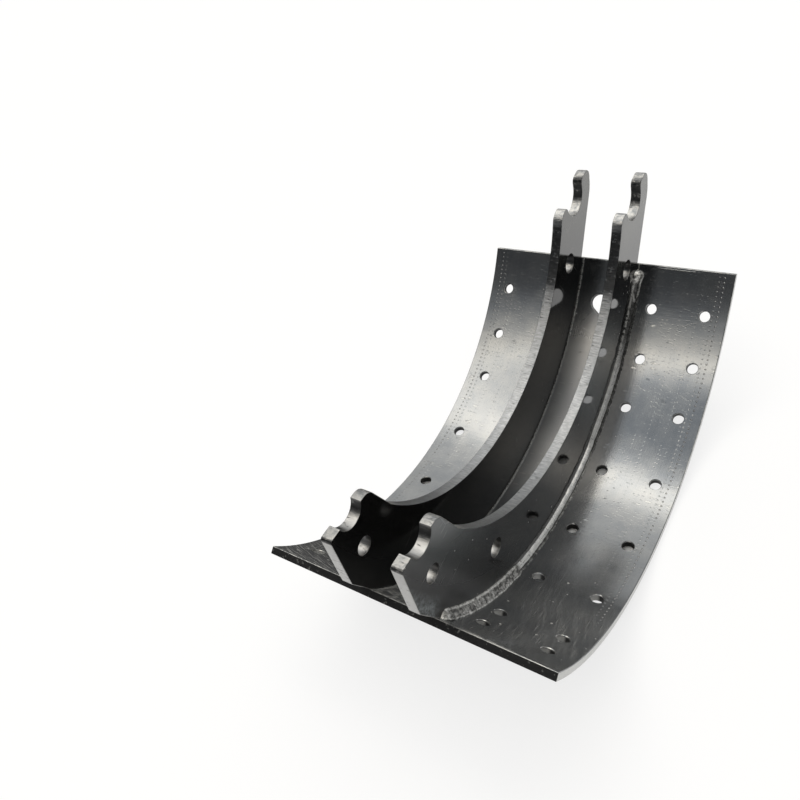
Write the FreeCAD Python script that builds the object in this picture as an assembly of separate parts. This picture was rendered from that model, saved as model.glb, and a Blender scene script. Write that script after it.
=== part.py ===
# Shoe of a heavy-vehicle drum brake without its lining. A rolled steel table carries two upright
# webs, which are welded to it along their outer sides. X runs along the drum's axis, +Y points to
# the roller end and Z is up. The shoe lies on its curved back with the origin under the middle of
# its length. Lengths are in millimetres. Angles are in degrees round the drum's axis, counted
# from the lowest point of the table, and they are positive towards the roller end.
import FreeCAD, Part
import math
import os

Vector = FreeCAD.Vector
ALONG_AXLE = Vector(1, 0, 0)

# Table
TABLE_WIDTH = 177.8
TABLE_THICKNESS = 4.5
TABLE_INNER_RADIUS = 180.0
TABLE_ROLLER_END_ANGLE = 57.3
TABLE_ANCHOR_END_ANGLE = -55.0
TABLE_CORNER_RADIUS = 2.0

# Rivet holes, in rows across the table and in columns on both sides of the webs
RIVET_HOLE_DIAMETER = 7.5
RIVET_INNER_COLUMN = 38.1
RIVET_OUTER_COLUMN = 74.2
RIVET_ROW_ANGLES = (47.5, 35.9, 24.3, 8.2, -8.2, -24.3, -40.2, -46.9)

# Pear-shaped hole in the table between the webs
PEAR_ANGLE = 47.3
PEAR_HEAD_RADIUS = 6.1
PEAR_TAIL_RADIUS = 3.0
PEAR_TAIL_ACROSS = 4.0
PEAR_TAIL_ALONG = 7.2

# Webs. Their height is counted from the table towards the drum's axis
WEB_THICKNESS = 6.8
WEB_GAP = 34.6
WEB_HEIGHT = 46.5

# Horn, the roller end of a web. Its back leaves the table with a small step. Its places are
# distances along the shoe and upwards from the point where it leaves the table
HORN_STEP_ANGLE = 53.6
HORN_STEP_LENGTH = 7.0
HORN_STEP_DEPTH = 3.2
HORN_SHOULDER = (29.8, 54.4)
HORN_NOSE = (31.6, 71.8)
HORN_LOBE_ANGLE = 69.9
HORN_SHOULDER_RADIUS = 20.0
HORN_NOSE_RADIUS = 6.0
HORN_LOBE_RADIUS = 8.0

# Roller seat, a U-shaped notch in the end of the horn, placed like the horn
ROLLER_SEAT_RADIUS = 12.9
ROLLER_SEAT_CENTRE = (3.3, 62.2)
ROLLER_SEAT_LIP_RADIUS = 4.0

# Heel, the anchor end of a web, with a square end and a straight inner edge. Its overhang and
# height are counted from the table's anchor end
HEEL_STRAIGHT_ANGLE = -57.0
HEEL_OVERHANG = 8.75
HEEL_HEIGHT = 54.0
HEEL_TOP_LENGTH = 34.1
HEEL_END_LENGTH = 36.4
HEEL_INNER_RADIUS = 7.0
HEEL_OUTER_RADIUS = 1.8

# Anchor seat, a half-round notch in the top of the heel, placed from the heel's end and top
ANCHOR_SEAT_RADIUS = 9.2
ANCHOR_SEAT_FROM_END = 17.55
ANCHOR_SEAT_OVER_TOP = 1.6
ANCHOR_SEAT_LIP_RADIUS = 0.6

# Holes through both webs, each with its angle, its height over the table and its diameter
RETURN_SPRING_HOLE = (56.0, 24.7, 14.0)
HEEL_SPRING_HOLE = (-61.7, 22.2, 10.6)
SIDE_HOLE = (-35.5, 28.9, 11.7)

# Weld runs, each with its two end angles, its leg on the web and its leg on the table
WELD_RUNS = (
    (-53.6, -24.5, 4.8, 4.6),
    (-25.0, 14.0, 3.6, 3.8),
    (13.0, 55.2, 6.2, 3.8),
)
WELD_BULGE = 0.5

# Derived sizes
TABLE_OUTER_RADIUS = TABLE_INNER_RADIUS + TABLE_THICKNESS
WEB_INNER_FACE = WEB_GAP / 2
WEB_OUTER_FACE = WEB_INNER_FACE + WEB_THICKNESS
WEB_INNER_RADIUS = TABLE_INNER_RADIUS - WEB_HEIGHT
CUT_MARGIN = 5.0


def at(angle, radius, across=0.0):
    """Point at an angle and radius round the drum's axis."""
    turn = math.radians(angle)
    return Vector(across, radius * math.sin(turn), -radius * math.cos(turn))


def on_horn(place):
    """Point at a distance along the shoe and upwards from where the horn leaves the table."""
    return at(HORN_STEP_ANGLE, TABLE_INNER_RADIUS) + Vector(0, *place)


def on_heel(from_end, over_top):
    """Point at a distance inwards from the heel's end and upwards from its top."""
    corner = at(TABLE_ANCHOR_END_ANGLE, TABLE_INNER_RADIUS) + Vector(0, -HEEL_OVERHANG, HEEL_HEIGHT)
    return corner + Vector(0, from_end, over_top)


def arc(radius, first, last):
    """Edge round the drum's axis, in the plane of a web."""
    points = [at(angle, radius) for angle in (first, (first + last) / 2, last)]
    return Part.Arc(*points).toShape()


def chain(points):
    """Straight edges from each point to the next."""
    return [Part.makeLine(start, end) for start, end in zip(points, points[1:])]


def plate(edges, first_face, last_face):
    """Plate across the shoe with the given outline, between two faces."""
    face = Part.Face(Part.Wire(Part.__sortEdges__(edges)))
    face.translate(Vector(first_face, 0, 0))
    return face.extrude(Vector(last_face - first_face, 0, 0))


def sector(outer_radius, inner_radius, first, last, first_face, last_face):
    """Part of a ring round the drum's axis, between two angles and two faces."""
    edges = [
        arc(outer_radius, first, last),
        arc(inner_radius, first, last),
        Part.makeLine(at(first, inner_radius), at(first, outer_radius)),
        Part.makeLine(at(last, inner_radius), at(last, outer_radius)),
    ]
    return plate(edges, first_face, last_face)


def radial_drill(angle, across, radius):
    """Drill that passes through the table towards the drum's axis."""
    length = TABLE_THICKNESS + 2 * CUT_MARGIN
    start = at(angle, TABLE_INNER_RADIUS - CUT_MARGIN, across)
    return Part.makeCylinder(radius, length, start, at(angle, 1.0))


def across_drill(centre, radius):
    """Drill that passes through both webs."""
    start = Vector(-WEB_OUTER_FACE - CUT_MARGIN, centre.y, centre.z)
    return Part.makeCylinder(radius, 2 * (WEB_OUTER_FACE + CUT_MARGIN), start, ALONG_AXLE)


def pear_drill():
    """Cutter for the pear-shaped hole: two round ends joined by their common tangents."""
    head = at(PEAR_ANGLE, TABLE_INNER_RADIUS - CUT_MARGIN)
    to_heel = -at(PEAR_ANGLE + 90, 1.0)
    tail = head + ALONG_AXLE * PEAR_TAIL_ACROSS + to_heel * PEAR_TAIL_ALONG
    outward = at(PEAR_ANGLE, TABLE_THICKNESS + 2 * CUT_MARGIN)
    span = tail - head
    lean = math.acos((PEAR_HEAD_RADIUS - PEAR_TAIL_RADIUS) / span.Length)
    spans = []
    for side in (1, -1):
        turn = FreeCAD.Rotation(outward, math.degrees(side * lean))
        normal = turn.multVec(span).normalize()
        spans.append([head + normal * PEAR_HEAD_RADIUS, tail + normal * PEAR_TAIL_RADIUS])
    corners = [spans[0][0], spans[0][1], spans[1][1], spans[1][0], spans[0][0]]
    middle = Part.Face(Part.makePolygon(corners)).extrude(outward)
    round_head = Part.makeCylinder(PEAR_HEAD_RADIUS, outward.Length, head, outward)
    round_tail = Part.makeCylinder(PEAR_TAIL_RADIUS, outward.Length, tail, outward)
    return middle.fuse([round_head, round_tail]).removeSplitter()


def rounded(solid, place, radius):
    """Solid with its corner edge across the shoe nearest to a place rounded."""
    edges = []
    for edge in solid.Edges:
        start, end = edge.Vertexes[0].Point, edge.Vertexes[-1].Point
        if abs(start.x - end.x) > WEB_THICKNESS / 2 and (start - end).cross(ALONG_AXLE).Length < 1e-6:
            edges.append((Vector(0, start.y - place.y, start.z - place.z).Length, edge))
    nearest = min(edges, key=lambda item: item[0])[1]
    return solid.makeFillet(radius, [nearest])


def shoe_table():
    """Rolled plate with rounded corners, rivet holes and the pear-shaped hole."""
    table = sector(
        TABLE_OUTER_RADIUS, TABLE_INNER_RADIUS,
        TABLE_ANCHOR_END_ANGLE, TABLE_ROLLER_END_ANGLE,
        -TABLE_WIDTH / 2, TABLE_WIDTH / 2,
    )
    corners = [edge for edge in table.Edges if abs(edge.Length - TABLE_THICKNESS) < 1e-6]
    table = table.makeFillet(TABLE_CORNER_RADIUS, corners)
    columns = [side * column for column in (RIVET_INNER_COLUMN, RIVET_OUTER_COLUMN) for side in (-1, 1)]
    drills = [
        radial_drill(angle, across, RIVET_HOLE_DIAMETER / 2)
        for angle in RIVET_ROW_ANGLES
        for across in columns
    ]
    return table.cut(drills + [pear_drill()])


def web_outline():
    """Edges of a web before its seats are cut, in order from the table's anchor end."""
    step_start = at(HORN_STEP_ANGLE, TABLE_INNER_RADIUS)
    step_end = at(HORN_STEP_ANGLE, TABLE_INNER_RADIUS - HORN_STEP_DEPTH)
    step_end = step_end + at(HORN_STEP_ANGLE + 90, HORN_STEP_LENGTH)
    horn = [
        step_start,
        step_end,
        on_horn(HORN_SHOULDER),
        on_horn(HORN_NOSE),
        at(HORN_LOBE_ANGLE, WEB_INNER_RADIUS),
    ]
    heel = [
        at(HEEL_STRAIGHT_ANGLE, WEB_INNER_RADIUS),
        on_heel(HEEL_TOP_LENGTH, 0),
        on_heel(0, 0),
        on_heel(0, -HEEL_END_LENGTH),
        at(TABLE_ANCHOR_END_ANGLE, TABLE_INNER_RADIUS),
    ]
    outer = arc(TABLE_INNER_RADIUS, TABLE_ANCHOR_END_ANGLE, HORN_STEP_ANGLE)
    inner = arc(WEB_INNER_RADIUS, HORN_LOBE_ANGLE, HEEL_STRAIGHT_ANGLE)
    return [outer] + chain(horn) + [inner] + chain(heel)


def roller_seat():
    """Cutter for the U-shaped notch: a round bottom with an open top."""
    centre = on_horn(ROLLER_SEAT_CENTRE)
    bottom = across_drill(centre, ROLLER_SEAT_RADIUS)
    corner = Vector(-WEB_OUTER_FACE - CUT_MARGIN, centre.y - ROLLER_SEAT_RADIUS, centre.z)
    width = 2 * (WEB_OUTER_FACE + CUT_MARGIN)
    height = HORN_NOSE[1] - ROLLER_SEAT_CENTRE[1] + CUT_MARGIN
    return bottom.fuse(Part.makeBox(width, 2 * ROLLER_SEAT_RADIUS, height, corner)).removeSplitter()


def heel_corner_radius():
    """Radius of the heel's inner corner, which stays on the land beside the anchor seat."""
    land = HEEL_TOP_LENGTH - ANCHOR_SEAT_FROM_END - ANCHOR_SEAT_RADIUS - ANCHOR_SEAT_LIP_RADIUS
    slope = at(HEEL_STRAIGHT_ANGLE, WEB_INNER_RADIUS) - on_heel(HEEL_TOP_LENGTH, 0)
    corner_angle = slope.getAngle(on_heel(0, 0) - on_heel(HEEL_TOP_LENGTH, 0))
    return min(HEEL_INNER_RADIUS, land * math.tan(corner_angle / 2))


def web(inner_face, outer_face):
    """One web between its two faces, with its seats, holes and rounded corners."""
    body = plate(web_outline(), inner_face, outer_face)
    body = rounded(body, on_horn(HORN_SHOULDER), HORN_SHOULDER_RADIUS)
    body = rounded(body, on_horn(HORN_NOSE), HORN_NOSE_RADIUS)
    body = rounded(body, at(HORN_LOBE_ANGLE, WEB_INNER_RADIUS), HORN_LOBE_RADIUS)
    body = rounded(body, on_heel(HEEL_TOP_LENGTH, 0), heel_corner_radius())
    body = rounded(body, on_heel(0, 0), HEEL_OUTER_RADIUS)
    anchor_seat = on_heel(ANCHOR_SEAT_FROM_END, ANCHOR_SEAT_OVER_TOP)
    drills = [across_drill(anchor_seat, ANCHOR_SEAT_RADIUS), roller_seat()]
    for angle, height, diameter in (RETURN_SPRING_HOLE, HEEL_SPRING_HOLE, SIDE_HOLE):
        drills.append(across_drill(at(angle, TABLE_INNER_RADIUS - height), diameter / 2))
    body = body.cut(drills)
    for side in (-1, 1):
        roller_lip = on_horn((ROLLER_SEAT_CENTRE[0] + side * ROLLER_SEAT_RADIUS, HORN_NOSE[1]))
        body = rounded(body, roller_lip, ROLLER_SEAT_LIP_RADIUS)
        anchor_lip = on_heel(ANCHOR_SEAT_FROM_END + side * ANCHOR_SEAT_RADIUS, 0)
        body = rounded(body, anchor_lip, ANCHOR_SEAT_LIP_RADIUS)
    return body


def weld_run(first, last, web_leg, table_leg):
    """One run of weld in the corner of the table and the web on the +X side."""
    start = at(first, TABLE_INNER_RADIUS, WEB_OUTER_FACE)
    on_web = at(first, TABLE_INNER_RADIUS - web_leg, WEB_OUTER_FACE)
    on_table = at(first, TABLE_INNER_RADIUS, WEB_OUTER_FACE + table_leg)
    outward = at(first, -1.0) + ALONG_AXLE
    crown = (on_web + on_table) / 2 + outward.normalize() * WELD_BULGE
    edges = [
        Part.makeLine(start, on_web),
        Part.Arc(on_web, crown, on_table).toShape(),
        Part.makeLine(on_table, start),
    ]
    face = Part.Face(Part.Wire(edges))
    return face.revolve(Vector(0, 0, 0), ALONG_AXLE, last - first)


def weld_bead():
    """The whole bead on the +X side, made of its overlapping runs."""
    runs = [weld_run(*run) for run in WELD_RUNS]
    return runs[0].fuse(runs[1:]).removeSplitter()


def mirrored(shape):
    """The same piece on the other side of the shoe."""
    return shape.mirror(Vector(0, 0, 0), ALONG_AXLE)


def middle_of_length(shape):
    """Place halfway along the shoe, where a web reaches equally far both ways."""
    box = shape.optimalBoundingBox()
    return (box.YMin + box.YMax) / 2


def write(pieces):
    """Put each piece in the part's frame and write it to its own file."""
    drum_axis = Vector(0, -middle_of_length(pieces["web_right"]), TABLE_OUTER_RADIUS)
    print("drum axis at", tuple(round(value, 3) for value in drum_axis))
    for name, shape in pieces.items():
        piece = shape.Solids[0]
        piece.translate(drum_axis)
        piece.exportStep("parts/" + name + ".step")
        print(name, "volume", round(piece.Volume, 1), "valid", piece.isValid())


os.makedirs("parts", exist_ok=True)
right_bead = weld_bead()
write({
    "shoe_table": shoe_table(),
    "web_left": web(-WEB_OUTER_FACE, -WEB_INNER_FACE),
    "web_right": web(WEB_INNER_FACE, WEB_OUTER_FACE),
    "weld_bead_left": mirrored(right_bead),
    "weld_bead_right": right_bead,
})
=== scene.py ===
import bmesh
import bpy
import math
from mathutils import Matrix, Vector, noise


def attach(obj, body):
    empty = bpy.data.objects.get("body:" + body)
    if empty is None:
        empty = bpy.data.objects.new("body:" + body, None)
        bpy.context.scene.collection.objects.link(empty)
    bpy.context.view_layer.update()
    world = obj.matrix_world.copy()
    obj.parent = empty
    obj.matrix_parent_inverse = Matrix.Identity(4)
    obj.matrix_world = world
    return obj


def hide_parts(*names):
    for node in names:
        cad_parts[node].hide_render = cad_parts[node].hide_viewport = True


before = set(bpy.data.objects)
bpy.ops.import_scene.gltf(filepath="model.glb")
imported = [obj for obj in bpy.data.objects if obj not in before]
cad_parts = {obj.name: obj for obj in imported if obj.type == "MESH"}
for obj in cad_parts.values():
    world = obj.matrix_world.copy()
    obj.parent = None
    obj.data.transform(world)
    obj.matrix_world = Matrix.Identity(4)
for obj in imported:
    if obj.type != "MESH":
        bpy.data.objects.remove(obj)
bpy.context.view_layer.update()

# Table of the shoe: one strip of sheet steel, sheared to length, punched flat and rolled to the
# radius of the lining. Its inner side has a satin black coat over the rolled skin. Angles run
# round the drum's axis from the lowest point of the table, positive towards the roller end.
DRUM_AXIS = Vector((0.0, -0.009734, 0.1845))
TABLE_WIDTH = 0.1778
TABLE_THICKNESS = 0.0045
TABLE_INNER_RADIUS = 0.180
TABLE_ANGLES = (-55.0, 57.3)
TABLE_CORNER_RADIUS = 0.002
SHEARED_EDGE_RADIUS = 0.0005
RIVET_ROWS = (47.5, 35.9, 24.3, 8.2, -8.2, -24.3, -40.2, -46.9)
RIVET_COLUMNS = (-0.0742, -0.0381, 0.0381, 0.0742)
RIVET_HOLE_RADIUS = 0.00375
HOLE_CHAMFER = 0.0003
# Pear-shaped hole: angle, radius of its head, radius of its tail, and the tail's place beside and
# below the head. The flare widens its mouth on the inner side, from a start inside the plate.
PEAR_HOLE = (47.3, 0.0061, 0.0030, 0.0040, 0.0072)
PEAR_PUNCH_HALF = 0.006
PEAR_FLARE = 0.0013
PEAR_FLARE_START = TABLE_THICKNESS / 2 - 0.0003
PEAR_FLARE_END = TABLE_THICKNESS / 2 + 0.001
SAME_POINT = 1e-6
SMALLEST_END_FACE = 5e-4
SHARP_ANGLE = math.radians(50)


def round_axis(angle, radius, across=0.0):
    """Point at an angle and radius round the drum's axis."""
    turn = math.radians(angle)
    return DRUM_AXIS + Vector((across, radius * math.sin(turn), -radius * math.cos(turn)))


def only(piece):
    """Make one piece the active and only selected object."""
    bpy.ops.object.select_all(action="DESELECT")
    piece.select_set(True)
    bpy.context.view_layer.objects.active = piece


def put_in_mesh(piece):
    """Put the object's place, turn and size into its mesh."""
    only(piece)
    bpy.ops.object.transform_apply(location=True, rotation=True, scale=True)


def apply_modifier(piece, kind, **settings):
    """Add a modifier with its settings and apply it."""
    only(piece)
    modifier = piece.modifiers.new(kind.title(), kind)
    for name, value in settings.items():
        setattr(modifier, name, value)
    bpy.ops.object.modifier_apply(modifier=modifier.name)


def smooth(piece, angle):
    """Smooth shading that leaves edges over an angle sharp and keeps flat faces flat."""
    only(piece)
    bpy.ops.object.shade_smooth_by_angle(angle=math.radians(angle))
    apply_modifier(piece, "WEIGHTED_NORMAL", weight=100, keep_sharp=True)


def punch(radius, flare):
    """Punch for a hole through the table, with its middle at the origin and along Z."""
    half = TABLE_THICKNESS / 2
    bpy.ops.object.select_all(action="DESELECT")
    bpy.ops.mesh.primitive_circle_add(vertices=48, radius=radius + flare + half, fill_type="NGON",
                                      location=(0, 0, -2 * half))
    tool = bpy.context.object
    bpy.ops.object.mode_set(mode="EDIT")
    bpy.ops.mesh.select_all(action="SELECT")
    heights = (-half + flare, half - flare, 2 * half)
    radii = (radius, radius, radius + flare + half)
    height, width = -2 * half, radius + flare + half
    for next_height, next_width in zip(heights, radii):
        move = (0, 0, next_height - height)
        bpy.ops.mesh.extrude_region_move(TRANSFORM_OT_translate={"value": move})
        grow = next_width / width
        bpy.ops.transform.resize(value=(grow, grow, 1), center_override=(0, 0, next_height))
        height, width = next_height, next_width
    bpy.ops.mesh.select_all(action="SELECT")
    bpy.ops.mesh.normals_make_consistent(inside=False)
    bpy.ops.object.mode_set(mode="OBJECT")
    put_in_mesh(tool)
    return tool


def cut_with(piece, tools):
    """Cut the joined tools out of a piece and throw them away."""
    bpy.ops.object.select_all(action="DESELECT")
    for tool in tools:
        tool.select_set(True)
    bpy.context.view_layer.objects.active = tools[0]
    if len(tools) > 1:
        bpy.ops.object.join()
    cutter = bpy.context.view_layer.objects.active
    apply_modifier(piece, "BOOLEAN", operation="DIFFERENCE", solver="EXACT", object=cutter)
    bpy.data.objects.remove(cutter)


def rolled_plate():
    """Curved plate with sheared edges and rounded corners, before it is punched."""
    first, last = TABLE_ANGLES
    middle = TABLE_INNER_RADIUS + TABLE_THICKNESS / 2
    bpy.ops.object.select_all(action="DESELECT")
    bpy.ops.mesh.primitive_plane_add(size=1, location=round_axis(first, middle),
                                     rotation=(math.radians(90 + first), 0, 0))
    plate = bpy.context.object
    plate.scale = (TABLE_WIDTH, TABLE_THICKNESS, 1)
    put_in_mesh(plate)
    bpy.ops.object.mode_set(mode="EDIT")
    bpy.ops.mesh.select_all(action="SELECT")
    bpy.ops.mesh.spin(steps=112, angle=math.radians(first - last), center=DRUM_AXIS, axis=(1, 0, 0))
    bpy.ops.mesh.select_all(action="SELECT")
    bpy.ops.mesh.remove_doubles(threshold=SAME_POINT)
    bpy.ops.mesh.normals_make_consistent(inside=False)
    bpy.ops.mesh.select_all(action="DESELECT")
    mesh = bmesh.from_edit_mesh(plate.data)
    for edge in mesh.edges:
        at_end = sum(len(face.verts) == 4 and face.calc_area() > SMALLEST_END_FACE
                     for face in edge.link_faces)
        short = abs(edge.calc_length() - TABLE_THICKNESS) < SAME_POINT
        edge.select_set(short and at_end == 1)
    bmesh.update_edit_mesh(plate.data)
    bpy.ops.mesh.bevel(offset=TABLE_CORNER_RADIUS, segments=6, affect="EDGES")
    bpy.ops.object.mode_set(mode="OBJECT")
    apply_modifier(plate, "BEVEL", width=SHEARED_EDGE_RADIUS, segments=3, limit_method="ANGLE",
                   angle_limit=SHARP_ANGLE, use_clamp_overlap=False)
    return plate


def pear_punch(flare, low, high):
    """Punch for the pear-shaped hole between two heights, wider at its top by a flare."""
    angle, head, tail, across, along = PEAR_HOLE
    bpy.ops.object.select_all(action="DESELECT")
    parts = []
    for radius, centre in ((head, (0, 0)), (tail, (across, -along))):
        bpy.ops.mesh.primitive_cone_add(vertices=64, radius1=radius, radius2=radius + flare,
                                        depth=high - low, location=(*centre, (low + high) / 2))
        parts.append(bpy.context.object)
    bpy.ops.object.select_all(action="DESELECT")
    for part in parts:
        part.select_set(True)
    bpy.context.view_layer.objects.active = parts[0]
    bpy.ops.object.join()
    tool = bpy.context.object
    put_in_mesh(tool)
    bpy.ops.object.mode_set(mode="EDIT")
    bpy.ops.mesh.select_all(action="SELECT")
    bpy.ops.mesh.convex_hull()
    bpy.ops.object.mode_set(mode="OBJECT")
    return tool


def through_table(tool, angle, across):
    """Turn a punch to the table's radial direction and move it into place."""
    middle = TABLE_INNER_RADIUS + TABLE_THICKNESS / 2
    turn = Matrix.Rotation(math.radians(angle), 4, "X")
    tool.data.transform(Matrix.Translation(round_axis(angle, middle, across)) @ turn)


table = rolled_plate()
rivet_punch = punch(RIVET_HOLE_RADIUS, HOLE_CHAMFER)
punches = []
for row in RIVET_ROWS:
    for column in RIVET_COLUMNS:
        tool = bpy.data.objects.new("punch", rivet_punch.data.copy())
        bpy.context.collection.objects.link(tool)
        through_table(tool, row, column)
        punches.append(tool)
bpy.data.objects.remove(rivet_punch)
cut_with(table, punches)
for flare, low, high in ((0, -PEAR_PUNCH_HALF, PEAR_PUNCH_HALF),
                         (PEAR_FLARE, PEAR_FLARE_START, PEAR_FLARE_END)):
    tool = pear_punch(flare, low, high)
    through_table(tool, PEAR_HOLE[0], 0)
    cut_with(table, [tool])
table.name = table.data.name = "rolled_table"
smooth(table, 30)


def material(name):
    """Empty material with its shader and output, ready for nodes."""
    made = bpy.data.materials.new(name)
    made.use_nodes = True
    return made, made.node_tree, made.node_tree.nodes["Principled BSDF"]


def node(tree, kind, inputs=(), **settings):
    """Node with its settings, and its inputs set to values or linked to sockets."""
    made = tree.nodes.new(kind)
    for name, value in settings.items():
        setattr(made, name, value)
    for key, value in dict(inputs).items():
        if isinstance(value, bpy.types.NodeSocket):
            tree.links.new(value, made.inputs[key])
        else:
            made.inputs[key].default_value = value
    return made


def maths(tree, operation, *values):
    """Result of a Math node on values or sockets."""
    return node(tree, "ShaderNodeMath", enumerate(values), operation=operation).outputs[0]


def times(tree, *values):
    """Product of some values."""
    result = values[0]
    for value in values[1:]:
        result = maths(tree, "MULTIPLY", result, value)
    return result


def apart(tree, value, other):
    """Distance between two values."""
    return maths(tree, "ABSOLUTE", maths(tree, "SUBTRACT", value, other))


def distance(tree, first, second):
    """Length of a line that goes by two values at a right angle."""
    squares = (times(tree, first, first), times(tree, second, second))
    return maths(tree, "SQRT", maths(tree, "ADD", *squares))


def steps(tree, value, *stops):
    """Colour ramp over a value, with stops of place and grey level."""
    made = node(tree, "ShaderNodeValToRGB", {"Fac": value})
    ramp = made.color_ramp
    while len(ramp.elements) < len(stops):
        ramp.elements.new(0.5)
    for element, (place, level) in zip(ramp.elements, stops):
        element.position = place
        colour = level if isinstance(level, tuple) else (level, level, level)
        element.color = (*colour, 1)
    return made.outputs["Color"]


def ramp(tree, value, low, high):
    """Rise from 0 to 1 while a value goes from low to high, or fall where high is under low."""
    return node(tree, "ShaderNodeMapRange",
                {"Value": value, "From Min": low, "From Max": high}).outputs[0]


def mixed(tree, share, first, second):
    """Colour between two colours by a share."""
    made = node(tree, "ShaderNodeMix", {"Factor": share}, data_type="RGBA")
    for key, colour in ((6, first), (7, second)):
        if isinstance(colour, bpy.types.NodeSocket):
            tree.links.new(colour, made.inputs[key])
        else:
            made.inputs[key].default_value = (*colour, 1)
    return made.outputs[2]


def place_round_axis(tree):
    """Metres across the shoe, metres along the table's inner side and metres from the drum's axis."""
    spot = node(tree, "ShaderNodeTexCoord").outputs["Object"]
    part = node(tree, "ShaderNodeSeparateXYZ", {"Vector": spot})
    along = maths(tree, "SUBTRACT", part.outputs["Y"], DRUM_AXIS.y)
    down = maths(tree, "SUBTRACT", DRUM_AXIS.z, part.outputs["Z"])
    turn = maths(tree, "ARCTAN2", along, down)
    arc = times(tree, turn, TABLE_INNER_RADIUS)
    return part.outputs["X"], arc, distance(tree, along, down)


def spot_at(tree, across, arc, radius, stretch=(1, 1, 1)):
    """Place as a vector, stretched along each of its ways."""
    values = [times(tree, value, size) for value, size in zip((across, arc, radius), stretch)]
    return node(tree, "ShaderNodeCombineXYZ", dict(zip("XYZ", values))).outputs[0]


def noise_at(tree, place, scale, detail=3.0, roughness=0.55):
    """Noise over a place."""
    return node(tree, "ShaderNodeTexNoise", {
        "Vector": place, "Scale": scale, "Detail": detail, "Roughness": roughness,
    }).outputs["Fac"]


def specks(tree, place, cell, size, share):
    """Small round specks, one in some of the cells of a size."""
    cells = node(tree, "ShaderNodeTexVoronoi", {"Vector": place, "Scale": 1 / cell})
    chosen = node(tree, "ShaderNodeSeparateColor", {"Color": cells.outputs["Color"]})
    grown = times(tree, chosen.outputs[1], size / cell)
    inside = maths(tree, "LESS_THAN", cells.outputs["Distance"], grown)
    return times(tree, inside, maths(tree, "LESS_THAN", chosen.outputs[0], share))


def feed_marks(tree, across, arc, column, pitch, size):
    """Row of small marks along the table at a column on both sides, one at each pitch."""
    side = maths(tree, "SUBTRACT", maths(tree, "ABSOLUTE", across), column)
    count = maths(tree, "FRACT", maths(tree, "DIVIDE", arc, pitch))
    run = times(tree, maths(tree, "SUBTRACT", count, 0.5), pitch)
    return ramp(tree, distance(tree, side, run), size, size / 2)


def grid_marks(tree, across, arc, pitch, size):
    """Grid of short marks over the table, one in each square of a pitch, twice as wide as long."""
    sides = []
    for value, stretch in ((across, 0.5), (arc, 1.0)):
        count = maths(tree, "FRACT", maths(tree, "DIVIDE", value, pitch))
        sides.append(times(tree, maths(tree, "SUBTRACT", count, 0.5), pitch * stretch))
    return ramp(tree, distance(tree, *sides), size, size / 3)


def most(tree, *values):
    """Largest of some values."""
    result = values[0]
    for value in values[1:]:
        result = maths(tree, "MAXIMUM", result, value)
    return result


def total(tree, *parts):
    """Sum of sockets, each times its weight."""
    result = 0.0
    for value, weight in parts:
        result = maths(tree, "MULTIPLY_ADD", value, weight, result)
    return result


def bumped(tree, shader, height, depth):
    """Bump the shader by a height in metres."""
    bump = node(tree, "ShaderNodeBump", {"Height": height, "Distance": depth, "Strength": 1.0})
    tree.links.new(bump.outputs["Normal"], shader.inputs["Normal"])


COAT_SHADES = ((0.188, 0.196, 0.205), (0.232, 0.236, 0.238))
COAT_METAL = 0.94
COAT_ROUGHNESS = 0.1
COAT_SPECULAR = 0.5
COAT_BUMP = 0.00016
# Colour of the painted shadow on the left wing near the anchor end
PAINTED_SHADOW_CORNER = (0.05, 0.051, 0.053)
# Colour of the painted light on the table between the webs
PAINTED_LIGHT_BETWEEN = (0.52, 0.511, 0.498)
# Colour of the painted light on the table beside the beads
PAINTED_LIGHT_BY_BEAD = (0.36, 0.35, 0.34)
WORN_STEEL = (0.5, 0.495, 0.475)
EDGE_SHADES = ((0.02, 0.02, 0.021), (0.16, 0.16, 0.155))
BARE_SIDE = (0.66, 0.66, 0.65)
# Colours of the painted shade and painted light on the rivet hole walls
PAINTED_WALL_SHADE_AND_LIGHT = ((0.03, 0.03, 0.03), (0.4, 0.4, 0.39))
# Small marks from the rolling of the table: their pitch along it, their sizes, and the columns that
# they stand in, each with its strength
FEED_PITCH = 0.0033
FEED_MARK_SIZE = 0.0006
GRID_MARK_SIZE = 0.0004
GRID_WANDER = 0.0012
FEED_COLUMNS = ((0.0826, 1.0), (0.0792, 0.3), (0.0695, 0.12), (0.0585, 0.1))
COLUMN_MIDDLE = RIVET_COLUMNS[2]
COLUMN_PITCH = RIVET_COLUMNS[3] - RIVET_COLUMNS[2]
WEB_INNER_EDGE = 0.0168
BEAD_ROOT = 0.0244

black_table, tree, shader = material("satin_black_table")
across, arc, radius = place_round_axis(tree)
spot = spot_at(tree, across, arc, radius)
wide = maths(tree, "ABSOLUTE", across)
half_arc = math.radians(TABLE_ANGLES[1] - TABLE_ANGLES[0]) / 2 * TABLE_INNER_RADIUS
middle_arc = math.radians(TABLE_ANGLES[1] + TABLE_ANGLES[0]) / 2 * TABLE_INNER_RADIUS
from_end = maths(tree, "SUBTRACT", half_arc, apart(tree, arc, middle_arc))
from_side = maths(tree, "SUBTRACT", TABLE_WIDTH / 2, wide)
from_rim = maths(tree, "MINIMUM", from_end, from_side)
inner_skin = ramp(tree, radius, TABLE_INNER_RADIUS + 0.00045, TABLE_INNER_RADIUS + 0.0003)
sheared = times(tree, ramp(tree, from_rim, 0.0006, 0.0004), maths(tree, "SUBTRACT", 1.0, inner_skin))
bare_side = times(tree, sheared, ramp(tree, from_side, 0.0002, 0.00008))
burr_break = noise_at(tree, spot, 180.0, 4.0)
side_burr = times(tree, ramp(tree, from_side, 0.0005, 0.0002), ramp(tree, arc, -0.03, 0.05))
burr = times(tree, most(tree, ramp(tree, from_end, 0.0005, 0.0002), side_burr), inner_skin)
burr = times(tree, burr, ramp(tree, burr_break, 0.4, 0.6))

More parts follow.
